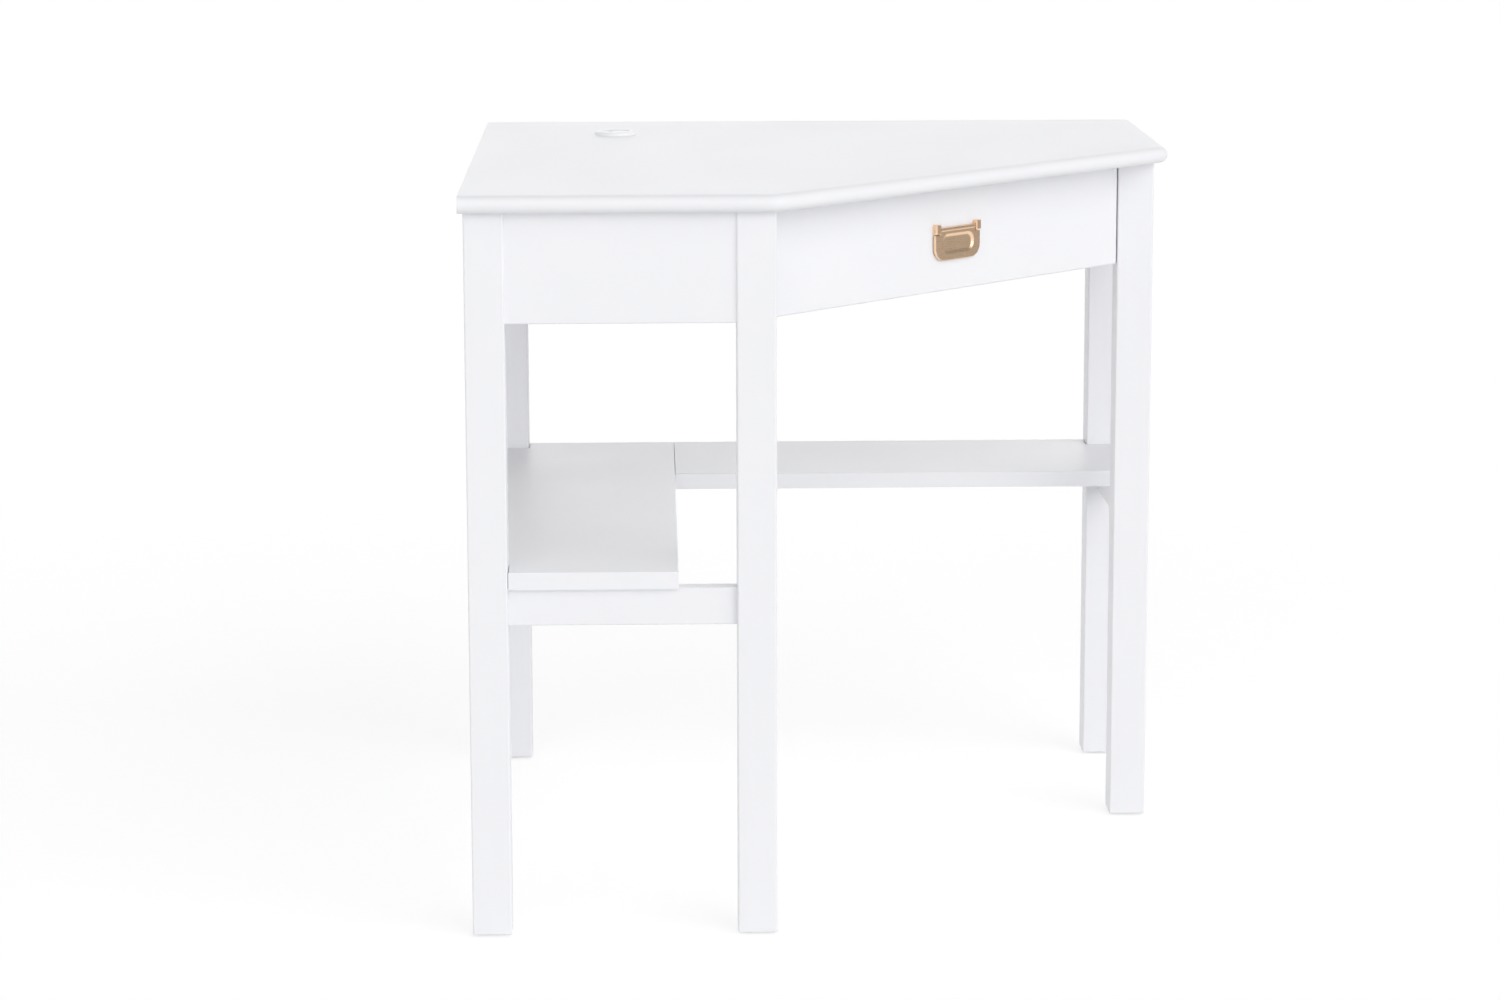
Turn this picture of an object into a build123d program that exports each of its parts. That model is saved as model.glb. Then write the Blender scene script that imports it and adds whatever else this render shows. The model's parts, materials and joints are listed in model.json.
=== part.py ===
from build123d import *
import os
from math import sqrt
from typing import NamedTuple

# A corner desk with a five-sided top, five square legs, an L-shaped shelf and one drawer in its
# diagonal front. All sizes are in millimetres. +Z is up, the drawer opens towards -Y, the room
# corner is at +Y, and the origin is on the floor under the middle of the desk.
# "u" is a distance from the room corner along the right-hand wall, "v" along the left-hand wall.

# Overall sizes
desk_height = 762
wall_edge = 762
end_edge = 318

# Table top
top_thickness = 18
nose_flat = 0.4
top_corner_radius = 20

# Legs and glides
leg_size = 40
leg_wall_inset = 5
leg_end_inset = 15
leg_corner_inset = 2
leg_edge_radius = 2
foot_edge_radius = 1.5
glide_thickness = 2.5
glide_radius = 11
glide_edge_radius = 0.8
glide_nail_radius = 1.5
glide_nail_length = 14

# Aprons and stretchers
apron_height = 112
apron_thickness = 18
wall_apron_reveal = 2
end_apron_reveal = 3
stretcher_height = 38
stretcher_thickness = 18
stretcher_reveal = 7
rail_edge_radius = 1.5

# Shelf
shelf_top = 380
shelf_thickness = 18
shelf_inner_edge = 217
shelf_wall_reveal = 7
shelf_end_reveal = 1
shelf_leg_gap = 0.5
shelf_seam_gap = 0.3
shelf_edge_radius = 1.5

# Front rail and drawer hangers
front_rail_width = 60
front_rail_thickness = 18
front_rail_gap = 0.3
hanger_thickness = 18
hanger_height = 94

# Drawer front
front_overhang = 40
front_thickness = 18
front_end_gap = 1.2
front_top_gap = 3
front_edge_radius = 2

# Fillers between the drawer front and the front legs
filler_setback = 5
filler_gap = 1.2
filler_edge_radius = 0.8

# Drawer box
box_width = 440
box_depth = 365
box_height = 72
box_lift = 8
side_thickness = 12
subfront_thickness = 12
back_thickness = 12
bottom_thickness = 4
bottom_rise = 10
groove_depth = 6
groove_play = 0.2

# Telescopic slides
slide_length = 350
slide_height = 35
slide_space = 12.7
slide_gauge = 1.2
slide_play = 0.4
slide_lip = 2
slide_head_room = 1.6
slide_screw_inset = 32

# Drop pull
pull_width = 72
pull_height = 35
pull_drop = 4
pull_thickness = 3
pull_stand_off = 1.2
pull_corner_radius = 14
pull_edge_radius = 0.7
dish_side_border = 10
dish_top_border = 7
dish_bottom_border = 6.5
dish_depth = 2
dish_corner_radius = 10
dish_wall_angle = 60
dish_rim_radius = 3
dish_floor_radius = 4
lug_width = 7.5
lug_height = 10
lug_depth = 5.8
lug_rise = 3.4
lug_side_gap = 0.4
lug_notch_gap = 1.2
lug_edge_radius = 1.2
pin_radius = 1.25
pin_lug_play = 0.03
pin_flap_play = 0.08
pin_end_recess = 0.5
barrel_radius = 2.4

# Cable grommet
grommet_setback = 214
grommet_hole_radius = 19
grommet_fit = 0.2
grommet_wall = 1.8
grommet_flange_radius = 23
grommet_rim_height = 4
grommet_rim_radius = 2.5
grommet_depth = 15
ledge_width = 2.5
ledge_thickness = 1.5
cap_thickness = 2.8
cap_side_play = 0.3
cap_rest_play = 0.2
cap_edge_radius = 0.6
cable_slot_width = 12
cable_slot_start = 4

# Cam fittings and dowels
cam_radius = 7.4
cam_play = 0.1
cam_depth = 13
cam_setback = 24
cam_slot_width = 1.4
cam_slot_depth = 1.5
bolt_radius = 2.5
bolt_head_radius = 3.5
bolt_head_length = 4
bolt_bite = 11
bolt_play = 0.2
dowel_radius = 3
dowel_length = 30
apron_dowel_edge = 24
stretcher_dowel_edge = 5

# Brackets, plates and screws
bracket_leg = 20
bracket_width = 15
bracket_gauge = 2
bracket_bend_radius = 2.5
bracket_hole_setback = 13
bracket_inset = 70
plate_length = 64
plate_width = 18
plate_gauge = 2
plate_corner_radius = 4.5
plate_hole_inset = 12
plate_inset = 50
screw_radius = 1.75
screw_head_radius = 3.4
screw_head_height = 2
screw_head_round = 1.2
flat_head_radius = 3.2
flat_head_height = 1.3
screw_bite = 11
screw_play = 0.05
hole_end_play = 0.5
box_screw_length = 34
box_screw_edge = 9
front_screw_inset = 55
front_screw_edge = 20

# Positions worked out from the sizes above
root_two = sqrt(2)
half_depth = (wall_edge + end_edge) / (2 * root_two)
under_top = desk_height - top_thickness
apron_bottom = under_top - apron_height
apron_middle = under_top - apron_height / 2
end_face = wall_edge - leg_end_inset
end_leg_start = end_face - leg_size
wall_leg_end = leg_wall_inset + leg_size
front_leg_end = end_edge - leg_corner_inset
front_leg_start = front_leg_end - leg_size
wall_apron_face = leg_wall_inset + wall_apron_reveal
wall_apron_inside = wall_apron_face + apron_thickness
end_apron_face = end_face - end_apron_reveal
end_apron_inside = end_apron_face - apron_thickness
shelf_bottom = shelf_top - shelf_thickness
stretcher_middle = shelf_bottom - stretcher_height / 2
stretcher_face = end_face - stretcher_reveal
shelf_back = leg_wall_inset + shelf_wall_reveal
shelf_front = end_face - shelf_end_reveal

front_face = -half_depth + front_overhang
front_back = front_face + front_thickness
front_half_width = (end_leg_start - front_leg_end) / root_two - front_end_gap
front_top = under_top - front_top_gap
box_back = front_back + box_depth
box_bottom = apron_bottom + box_lift
box_top = box_bottom + box_height
box_half = box_width / 2
bottom_level = box_bottom + bottom_rise
hanger_inside = box_half + slide_space
hanger_outside = hanger_inside + hanger_thickness
leg_corner_y = half_depth - (end_leg_start + front_leg_start) / root_two
filler_front = front_face + filler_setback
filler_back = leg_corner_y - leg_edge_radius
filler_side = front_half_width + filler_gap
rail_front = leg_corner_y + front_rail_gap
rail_back = rail_front + front_rail_width
rail_bottom = under_top - front_rail_thickness
slide_level = box_bottom + box_height / 2
grommet_y = half_depth - grommet_setback
pull_level = (apron_bottom + front_top) / 2 - pull_drop

# Directions: along the right wall, along the left wall, and up
right_wall = Vector(1 / root_two, -1 / root_two, 0)
left_wall = Vector(-1 / root_two, -1 / root_two, 0)
up = Vector(0, 0, 1)
across = Vector(1, 0, 0)
inwards = Vector(0, 1, 0)
room_corner = Vector(0, half_depth, 0)
corner_frame = Plane(origin=room_corner, x_dir=right_wall, z_dir=up).location

from_below = (Align.CENTER, Align.CENTER, Align.MIN)
from_above = (Align.CENTER, Align.CENTER, Align.MAX)


def corner_point(u, v, z):
    """Point at u along the right wall, v along the left wall, and height z."""
    return room_corner + right_wall * u + left_wall * v + up * z


def frame_at(origin, x_dir, z_dir):
    """Local frame at a point, for placing a fitting made about its own origin."""
    return Plane(origin=origin, x_dir=x_dir, z_dir=z_dir).location


def board(x, y, z):
    """Board between pairs of limits along X, Y and Z."""
    middle = Pos((x[0] + x[1]) / 2, (y[0] + y[1]) / 2, (z[0] + z[1]) / 2)
    return middle * Box(x[1] - x[0], y[1] - y[0], z[1] - z[0])


def corner_board(u, v, z):
    """Board between pairs of limits along the right wall, along the left wall and up."""
    return corner_frame * board(u, (-v[1], -v[0]), z)


def cut_board(corners, z):
    """Board cut to an outline seen from above, between a pair of limits along Z."""
    outline = make_face(Polyline(*corners, close=True))
    return extrude(Pos(0, 0, z[0]) * outline, z[1] - z[0], dir=(0, 0, 1))


def mirrored(part):
    """The same piece on the other side of the desk's middle plane."""
    return mirror(part, about=Plane.YZ)


# Holes are collected by node name and cut when the node is finished
holes = {}


def drill(node, cutter):
    holes.setdefault(node, []).append(cutter)


def drill_pair(node, cutter):
    drill(node, cutter)
    drill(node, mirrored(cutter))


# Screws: the underside of the head lies in the local plane z = 0 and the shank points to -z
def pan_screw(grip):
    """Round-headed wood screw that passes through grip and bites into the piece behind."""
    shank = Cylinder(screw_radius, grip + screw_bite, align=from_above)
    head = Cylinder(screw_head_radius, screw_head_height, align=from_below)
    head = fillet(head.edges().sort_by(Axis.Z)[-1], screw_head_round)
    return shank + head


def low_screw(grip):
    """Slide screw with a thin flat head that clears the moving members."""
    shank = Cylinder(screw_radius, grip + screw_bite, align=from_above)
    return shank + Cylinder(flat_head_radius, flat_head_height, align=from_below)


def sunk_screw(length):
    """Countersunk screw, its head flush with the plane z = 0."""
    rise = flat_head_radius - screw_radius
    shank = Cylinder(screw_radius, length, align=from_above)
    return shank + Cone(screw_radius, flat_head_radius, rise, align=from_above)


def shank_hole(depth):
    """Hole for a screw's shank, a little deeper than the screw goes."""
    return Cylinder(screw_radius + screw_play, depth + hole_end_play, align=from_above)


def sunk_hole(depth):
    """Hole for a countersunk screw, with room for its head."""
    rise = flat_head_radius - screw_radius
    head = Cone(screw_radius + screw_play, flat_head_radius + screw_play, rise, align=from_above)
    return shank_hole(depth) + head


# Table top and its grommet
def table_top():
    """Five-sided board with a half-round nose on both short ends and the diagonal."""
    corners = [(0, 0), (wall_edge, 0), (wall_edge, end_edge), (end_edge, wall_edge), (0, wall_edge)]
    outline = make_face(Polyline(*[corner_point(u, v, 0) for u, v in corners], close=True))
    outline = fillet(outline.vertices().sort_by(Axis.Y)[:2], top_corner_radius)
    slab = extrude(Pos(0, 0, under_top) * outline, top_thickness, dir=(0, 0, 1))
    faces = slab.faces().sort_by(Axis.Z)
    nose = faces[0].edges().sort_by(Axis.Y)[:5] + faces[-1].edges().sort_by(Axis.Y)[:5]
    return fillet(nose, (top_thickness - nose_flat) / 2)


def grommet_frame():
    return Pos(0, grommet_y, desk_height)


def grommet_hole():
    return grommet_frame() * Cylinder(grommet_hole_radius, top_thickness, align=from_above)


def grommet_liner():
    """Turned liner: a sleeve through the top, a raised rim, and a ledge that carries the cap."""
    outer = grommet_hole_radius - grommet_fit
    inner = outer - grommet_wall
    section = Polyline(
        (inner - ledge_width, 0),
        (inner - ledge_width, -ledge_thickness),
        (inner, -ledge_thickness),
        (inner, -grommet_depth),
        (outer, -grommet_depth),
        (outer, 0),
        (grommet_flange_radius, 0),
        (grommet_flange_radius, grommet_rim_height),
        (inner, grommet_rim_height),
        (inner, 0),
        close=True,
    )
    profile = make_face(section)
    rim = profile.vertices().group_by(Axis.Y)[-1].sort_by(Axis.X)[-1]
    profile = fillet(rim, grommet_rim_radius)
    return grommet_frame() * revolve(Plane.XZ * profile, Axis.Z)


def grommet_cap():
    """Disc that turns in the rim, with a slot for cables at its edge."""
    radius = grommet_hole_radius - grommet_fit - grommet_wall - cap_side_play
    disc = Cylinder(radius, cap_thickness, align=from_below)
    disc = fillet(disc.edges().sort_by(Axis.Z)[-1], cap_edge_radius)
    slot = SlotCenterPoint((0, radius), (0, cable_slot_start + cable_slot_width / 2), cable_slot_width)
    disc -= extrude(slot, cap_thickness)
    return grommet_frame() * Pos(0, 0, cap_rest_play) * disc


# Legs
def leg(u, v):
    """Square post with eased edges, whose near corner is at u and v."""
    post = corner_board((u, u + leg_size), (v, v + leg_size), (glide_thickness, under_top))
    post = fillet(post.edges().filter_by(Axis.Z), leg_edge_radius)
    return fillet(post.edges().group_by(Axis.Z)[0], foot_edge_radius)


def glide():
    """Nail-on glide: a disc under the leg and the nail that holds it."""
    disc = Cylinder(glide_radius, glide_thickness, align=from_below)
    disc = fillet(disc.edges().sort_by(Axis.Z)[0], glide_edge_radius)
    return disc + Cylinder(glide_nail_radius, glide_nail_length, align=from_below)


def glide_hole():
    reach = glide_nail_length + hole_end_play
    return Cylinder(glide_nail_radius + screw_play, reach, align=from_below)


# Rails between the legs
def eased_rail(rail, direction):
    """Rail with its lower long edges rounded."""
    long_edges = rail.edges().filter_by(Axis((0, 0, 0), direction)).sort_by(Axis.Z)
    return fillet(long_edges[:2], rail_edge_radius)


def wall_apron():
    rail = corner_board(
        (wall_leg_end, end_leg_start), (wall_apron_face, wall_apron_inside), (apron_bottom, under_top)
    )
    return eased_rail(rail, right_wall)


def end_apron():
    rail = corner_board(
        (end_apron_inside, end_apron_face), (wall_leg_end, front_leg_start), (apron_bottom, under_top)
    )
    return eased_rail(rail, left_wall)


def end_stretcher():
    rail = corner_board(
        (stretcher_face - stretcher_thickness, stretcher_face),
        (wall_leg_end, front_leg_start),
        (shelf_bottom - stretcher_height, shelf_bottom),
    )
    return eased_rail(rail, left_wall)


class RailJoint(NamedTuple):
    """One rail end against a leg: +z of the frame runs into the rail, +x to the rail's inner face."""

    rail: str
    leg: str
    frame: Location
    thickness: float
    dowel_offset: float


def right_hand_joints():
    """The joints on the right-hand half of the desk."""
    wall_line = wall_apron_face + apron_thickness / 2
    end_line = end_apron_face - apron_thickness / 2
    stretcher_line = stretcher_face - stretcher_thickness / 2
    apron_offset = apron_height / 2 - apron_dowel_edge
    stretcher_offset = stretcher_height / 2 - stretcher_dowel_edge

    def apron_joint(rail, leg_name, u, v, along, inner):
        frame = frame_at(corner_point(u, v, apron_middle), inner, along)
        return RailJoint(rail, leg_name, frame, apron_thickness, apron_offset)

    def stretcher_joint(leg_name, v, along):
        frame = frame_at(corner_point(stretcher_line, v, stretcher_middle), -right_wall, along)
        return RailJoint("stretcher_right", leg_name, frame, stretcher_thickness, stretcher_offset)

    wall_rail = "apron_right_wall"
    end_rail = "apron_right_end"
    return [
        apron_joint(wall_rail, "leg_corner", wall_leg_end, wall_line, right_wall, left_wall),
        apron_joint(wall_rail, "leg_right_wall", end_leg_start, wall_line, -right_wall, left_wall),
        apron_joint(end_rail, "leg_right_wall", end_line, wall_leg_end, left_wall, -right_wall),
        apron_joint(end_rail, "leg_right_front", end_line, front_leg_start, -left_wall, -right_wall),
        stretcher_joint("leg_right_wall", wall_leg_end, left_wall),
        stretcher_joint("leg_right_front", front_leg_start, -left_wall),
    ]


# Cam fittings, made in the frame of a rail joint
def cam_lock(thickness):
    """Round cam in the rail's inner face, with a socket for the bolt's head and a driver slot."""
    across_rail = frame_at((thickness / 2, 0, cam_setback), inwards, across)
    body = Cylinder(cam_radius, cam_depth - cam_play, align=from_above)
    body -= Pos(0, 0, -cam_slot_depth) * Box(
        cam_radius, cam_slot_width, cam_slot_depth, align=from_below
    )
    socket = Cylinder(bolt_head_radius + bolt_play, cam_setback + bolt_head_length, align=from_below)
    return across_rail * body - socket


def cam_bolt():
    """Bolt that screws into the leg and hooks into the cam."""
    shank = Pos(0, 0, -bolt_bite) * Cylinder(bolt_radius, bolt_bite + cam_setback, align=from_below)
    return shank + Pos(0, 0, cam_setback) * Cylinder(bolt_head_radius, bolt_head_length)


def dowel_pegs(offset, radius, length):
    """Two pegs across the joint's plane, above and below the bolt."""
    return [Pos(0, side * offset, 0) * Cylinder(radius, length) for side in (1, -1)]


def rail_holes(joint):
    """Bolt hole, cam bore and dowel holes that reach from the rail's end into the rail."""
    across_rail = frame_at((joint.thickness / 2, 0, cam_setback), inwards, across)
    bore = across_rail * Cylinder(cam_radius + cam_play, cam_depth, align=from_above)
    bolt_hole = Cylinder(bolt_head_radius + bolt_play, cam_setback, align=from_below)
    return [bore, bolt_hole] + dowel_holes(joint)


def leg_holes(joint):
    """Bolt hole and dowel holes that reach from the leg's face into the leg."""
    bolt_hole = Cylinder(bolt_radius + screw_play, bolt_bite + hole_end_play, align=from_above)
    return [bolt_hole] + dowel_holes(joint)


def dowel_holes(joint):
    return dowel_pegs(joint.dowel_offset, dowel_radius + screw_play, dowel_length + 2 * hole_end_play)


# Shelf boards
def eased_shelf(slab):
    """Shelf board with its upper edges rounded."""
    return fillet(slab.edges().group_by(Axis.Z)[-1], shelf_edge_radius)


def leg_notch(u, v):
    """Room for the leg whose near corner is at u and v."""
    gap = shelf_leg_gap
    return corner_board(
        (u - gap, u + leg_size + gap), (v - gap, v + leg_size + gap), (shelf_bottom, shelf_top)
    )


def shelf_left():
    """Board that runs from the room corner to the left end, notched round two legs."""
    slab = corner_board(
        (shelf_back, shelf_inner_edge), (shelf_back, shelf_front), (shelf_bottom, shelf_top)
    )
    slab -= leg_notch(leg_wall_inset, leg_wall_inset)
    slab -= leg_notch(leg_wall_inset, end_leg_start)
    return eased_shelf(slab)


def shelf_right():
    """Board along the right wall, butted against the left board and notched round one leg."""
    slab = corner_board(
        (shelf_inner_edge + shelf_seam_gap, shelf_front),
        (shelf_back, shelf_inner_edge),
        (shelf_bottom, shelf_top),
    )
    slab -= leg_notch(end_leg_start, leg_wall_inset)
    return eased_shelf(slab)


# Front rail, fillers and drawer hangers
def end_plane_x(u, y):
    """Distance from the middle plane to the upright plane at u along the right wall, at depth y."""
    return u * root_two - (half_depth - y)


def front_rail():
    """Flat board under the top, behind the drawer front, mitred to the end aprons."""
    front_x = end_plane_x(end_apron_inside, rail_front)
    back_x = end_plane_x(end_apron_inside, rail_back)
    corners = [(-front_x, rail_front), (front_x, rail_front), (back_x, rail_back), (-back_x, rail_back)]
    return cut_board(corners, (rail_bottom, under_top))


def front_filler():
    """Wedge glued to the front leg's side, so that the leg meets the drawer front squarely."""
    corners = [
        (filler_side, filler_front),
        (end_plane_x(end_leg_start, filler_front), filler_front),
        (end_plane_x(end_leg_start, filler_back), filler_back),
        (filler_side, filler_back),
    ]
    wedge = cut_board(corners, (apron_bottom, under_top))
    front_edges = wedge.edges().filter_by(Axis.Z).group_by(Axis.Y)[0]
    return fillet(front_edges.sort_by(Axis.X)[0], filler_edge_radius)


def hanger_back(x):
    """Depth at which the wall apron's inner face stands, at distance x from the middle plane."""
    return half_depth - wall_apron_inside * root_two - x


def hanger():
    """Board that carries one slide, mitred to the wall apron and notched under the front rail."""
    corners = [
        (hanger_inside, rail_front),
        (hanger_outside, rail_front),
        (hanger_outside, hanger_back(hanger_outside)),
        (hanger_inside, hanger_back(hanger_inside)),
    ]
    slab = cut_board(corners, (under_top - hanger_height, under_top))
    notch = board(
        (hanger_inside, hanger_outside),
        (rail_front, rail_back + front_rail_gap),
        (rail_bottom, under_top),
    )
    return slab - notch


# Telescopic slides, drawn for the right-hand side as sections in X and Z
outer_web = (hanger_inside - slide_gauge, hanger_inside)
middle_web_start = outer_web[0] - slide_head_room - slide_gauge
middle_web = (middle_web_start, middle_web_start + slide_gauge)
inner_brim = (middle_web[0] - slide_play - slide_gauge, middle_web[0] - slide_play)
middle_lip = (inner_brim[0] - slide_play - slide_gauge, inner_brim[0] - slide_play)
outer_lip = (middle_lip[0] - slide_play - slide_gauge, middle_lip[0] - slide_play)
inner_web = (box_half, box_half + slide_gauge)

outer_height = slide_height / 2
middle_height = outer_height - slide_gauge - slide_play
brim_height = middle_height - slide_gauge - slide_play
inner_height = middle_height - slide_gauge - slide_lip - slide_play


def section_strip(x, low, high):
    """Rectangle between limits in X and heights above the slide's middle, and its mirror below."""
    strip = Pos((x[0] + x[1]) / 2, (low + high) / 2) * Rectangle(x[1] - x[0], high - low)
    return strip + mirror(strip, about=Plane.XZ)


def slide_member(section):
    """Member rolled to one section along the slide's length."""
    frame = frame_at((0, rail_front, slide_level), across, inwards)
    return frame * extrude(section, slide_length, dir=(0, 0, 1))


def lipped_channel(web, lip, height):
    """Channel whose two flanges end in lips turned towards each other."""
    flange = section_strip((lip[0], web[1]), height - slide_gauge, height)
    lips = section_strip(lip, height - slide_gauge - slide_lip, height)
    return section_strip(web, 0, height) + flange + lips


def slide_outer():
    return slide_member(lipped_channel(outer_web, outer_lip, outer_height))


def slide_middle():
    return slide_member(lipped_channel(middle_web, middle_lip, middle_height))


def slide_inner():
    """Hat section on the drawer side, whose brims run behind the middle member's lips."""
    web = section_strip(inner_web, 0, inner_height)
    walls = section_strip((inner_web[0], inner_brim[1]), inner_height - slide_gauge, inner_height)
    brims = section_strip(inner_brim, inner_height - slide_gauge, brim_height)
    return slide_member(web + walls + brims)


# Drawer
def drawer_front():
    slab = board(
        (-front_half_width, front_half_width), (front_face, front_back), (apron_bottom, front_top)
    )
    return fillet(slab.faces().sort_by(Axis.Y)[0].edges(), front_edge_radius)


def bottom_groove():
    """Room that the box's walls leave for the bottom panel's edges."""
    inside = box_half - side_thickness + groove_depth
    start = front_back + subfront_thickness - groove_depth
    end = box_back - back_thickness + groove_depth
    return board(
        (-inside, inside), (start, end), (bottom_level, bottom_level + bottom_thickness + groove_play)
    )


def drawer_bottom():
    inside = box_half - side_thickness + groove_depth - groove_play
    start = front_back + subfront_thickness - groove_depth + groove_play
    end = box_back - back_thickness + groove_depth - groove_play
    return board((-inside, inside), (start, end), (bottom_level, bottom_level + bottom_thickness))


def drawer_side():
    slab = board((box_half - side_thickness, box_half), (front_back, box_back), (box_bottom, box_top))
    return slab - bottom_groove()


def drawer_cross_wall(start, thickness):
    """Wall between the two drawer sides."""
    half = box_half - side_thickness
    return board((-half, half), (start, start + thickness), (box_bottom, box_top)) - bottom_groove()


# Drop pull, drawn on the drawer face: x across, y up, z outwards
pull_frame = frame_at((0, front_face, pull_level), across, -inwards)
flap_top = pull_height / 2
flap_bottom = -pull_height / 2
lug_top = flap_top + lug_rise
lug_bottom = lug_top - lug_height
shoulder = lug_bottom - lug_notch_gap
neck_half = pull_width / 2 - lug_width - lug_side_gap
pin_height = flap_top - barrel_radius
pin_stand = lug_depth / 2
lug_screw_height = lug_top - (lug_top - pin_height - pin_radius) / 2
lug_middle = pull_width / 2 - lug_width / 2
lug_screw_bite = lug_depth - lug_edge_radius - hole_end_play


def pin_rod(radius, length):
    """Rod along the pull's hinge line."""
    return Pos(0, pin_height, pin_stand) * Rot(0, 90, 0) * Cylinder(radius, length)


def pull_dish():
    """Sloping recess in the flap's face, rounded where its walls meet its floor."""
    top = flap_top - dish_top_border
    bottom = flap_bottom + dish_bottom_border
    outline = RectangleRounded(pull_width - 2 * dish_side_border, top - bottom, dish_corner_radius)
    face_level = pull_stand_off + pull_thickness
    recess = extrude(outline, -dish_depth, dir=(0, 0, 1), taper=dish_wall_angle)
    recess = fillet(recess.faces().sort_by(Axis.Z)[0].edges(), dish_floor_radius)
    return Pos(0, (top + bottom) / 2, face_level) * recess


def pull_flap():
    """Dished plate with shoulders under the lugs, hung from a barrel round the pin."""
    body = Pos(0, (shoulder + flap_bottom) / 2) * Rectangle(pull_width, shoulder - flap_bottom)
    body = fillet(body.vertices().group_by(Axis.Y)[0], pull_corner_radius)
    neck = Pos(0, (shoulder + pin_height) / 2) * Rectangle(2 * neck_half, pin_height - shoulder)
    plate = extrude(Pos(0, 0, pull_stand_off) * (body + neck), pull_thickness)
    front_edges = plate.faces().sort_by(Axis.Z)[-1].edges().sort_by(Axis.Y)[:-1]
    plate = fillet(front_edges, pull_edge_radius) - pull_dish()
    front = plate.faces().filter_by(Axis.Z).sort_by(Axis.Z)[-1]
    plate = fillet(front.inner_wires()[0].edges(), dish_rim_radius)
    flap = plate + pin_rod(barrel_radius, 2 * neck_half)
    return pull_frame * (flap - pin_rod(pin_radius + pin_flap_play, pull_width))


def pull_lug():
    """Square post with a rounded face, bored for the pin and for the screw from behind."""
    post = Pos(lug_middle, (lug_top + lug_bottom) / 2) * Box(
        lug_width, lug_height, lug_depth, align=from_below
    )
    post = fillet(post.faces().sort_by(Axis.Z)[-1].edges(), lug_edge_radius)
    post -= pin_rod(pin_radius + pin_lug_play, 2 * pull_width)
    screw_hole = Cylinder(
        screw_radius + screw_play, lug_screw_bite + hole_end_play / 2, align=from_below
    )
    return pull_frame * (post - Pos(lug_middle, lug_screw_height) * screw_hole)


def pull_pin():
    return pull_frame * pin_rod(pin_radius, pull_width - 2 * pin_end_recess)


# Brackets and plates
def angle_bracket():
    """Bent angle: one leg against the wall x = 0, the other against the ceiling z = 0."""
    upright = board((0, bracket_gauge), (-bracket_width / 2, bracket_width / 2), (0, bracket_leg))
    flat = board((0, bracket_leg), (-bracket_width / 2, bracket_width / 2), (0, bracket_gauge))
    angle = upright + flat
    inner_bend = angle.edges().filter_by(Axis.Y).group_by(Axis.X)[1].sort_by(Axis.Z)[0]
    angle = fillet(inner_bend, bracket_bend_radius)
    for seat in bracket_seats():
        angle -= seat * shank_hole(bracket_gauge)
    return angle


def upright_screw_frame():
    return frame_at((bracket_gauge, 0, bracket_hole_setback), inwards, across)


def flat_screw_frame():
    return frame_at((bracket_hole_setback, 0, bracket_gauge), across, up)


def bracket_seats():
    return [upright_screw_frame(), flat_screw_frame()]


def seam_plate():
    """Flat plate under the seam, with a screw hole near each end."""
    plate = Box(plate_length, plate_width, plate_gauge, align=from_above)
    plate = fillet(plate.edges().filter_by(Axis.Z), plate_corner_radius)
    for hole in plate_screw_frames():
        plate -= hole * shank_hole(plate_gauge)
    return plate


def plate_screw_frames():
    reach = plate_length / 2 - plate_hole_inset
    return [frame_at((side * reach, 0, -plate_gauge), across, -up) for side in (1, -1)]


# Nodes of the desk, and groups of like fittings that share a node
nodes = {}
groups = {}


def add_fitting(group, solid):
    groups.setdefault(group, []).append(solid)


def add_fitting_pair(group, solid):
    add_fitting(group, solid)
    add_fitting(group, mirrored(solid))


# Structure: pieces on the right-hand half stand for both sides
paired = {
    "leg_right_wall": leg(end_leg_start, leg_wall_inset),
    "leg_right_front": leg(end_leg_start, front_leg_start),
    "apron_right_wall": wall_apron(),
    "apron_right_end": end_apron(),
    "stretcher_right": end_stretcher(),
    "front_filler_right": front_filler(),
    "hanger_right": hanger(),
    "slide_outer_right": slide_outer(),
    "slide_middle_right": slide_middle(),
    "slide_inner_right": slide_inner(),
    "drawer_side_right": drawer_side(),
}
single = {
    "table_top": table_top(),
    "leg_corner": leg(leg_wall_inset, leg_wall_inset),
    "shelf_left": shelf_left(),
    "shelf_right": shelf_right(),
    "front_rail": front_rail(),
    "drawer_front": drawer_front(),
    "drawer_subfront": drawer_cross_wall(front_back, subfront_thickness),
    "drawer_back": drawer_cross_wall(box_back - back_thickness, back_thickness),
    "drawer_bottom": drawer_bottom(),
    "pull_flap": pull_flap(),
    "pull_pin": pull_pin(),
    "grommet_liner": grommet_liner(),
    "grommet_cap": grommet_cap(),
}
drill("table_top", grommet_hole())

# Rail joints
for joint in right_hand_joints():
    add_fitting_pair("cam_locks", joint.frame * cam_lock(joint.thickness))
    add_fitting_pair("cam_bolts", joint.frame * cam_bolt())
    for peg in dowel_pegs(joint.dowel_offset, dowel_radius, dowel_length):
        add_fitting_pair("dowels", joint.frame * peg)
    for cutter in rail_holes(joint):
        drill(joint.rail, joint.frame * cutter)
    for cutter in leg_holes(joint):
        if joint.leg == "leg_corner":
            drill_pair(joint.leg, joint.frame * cutter)
        else:
            drill(joint.leg, joint.frame * cutter)

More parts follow.
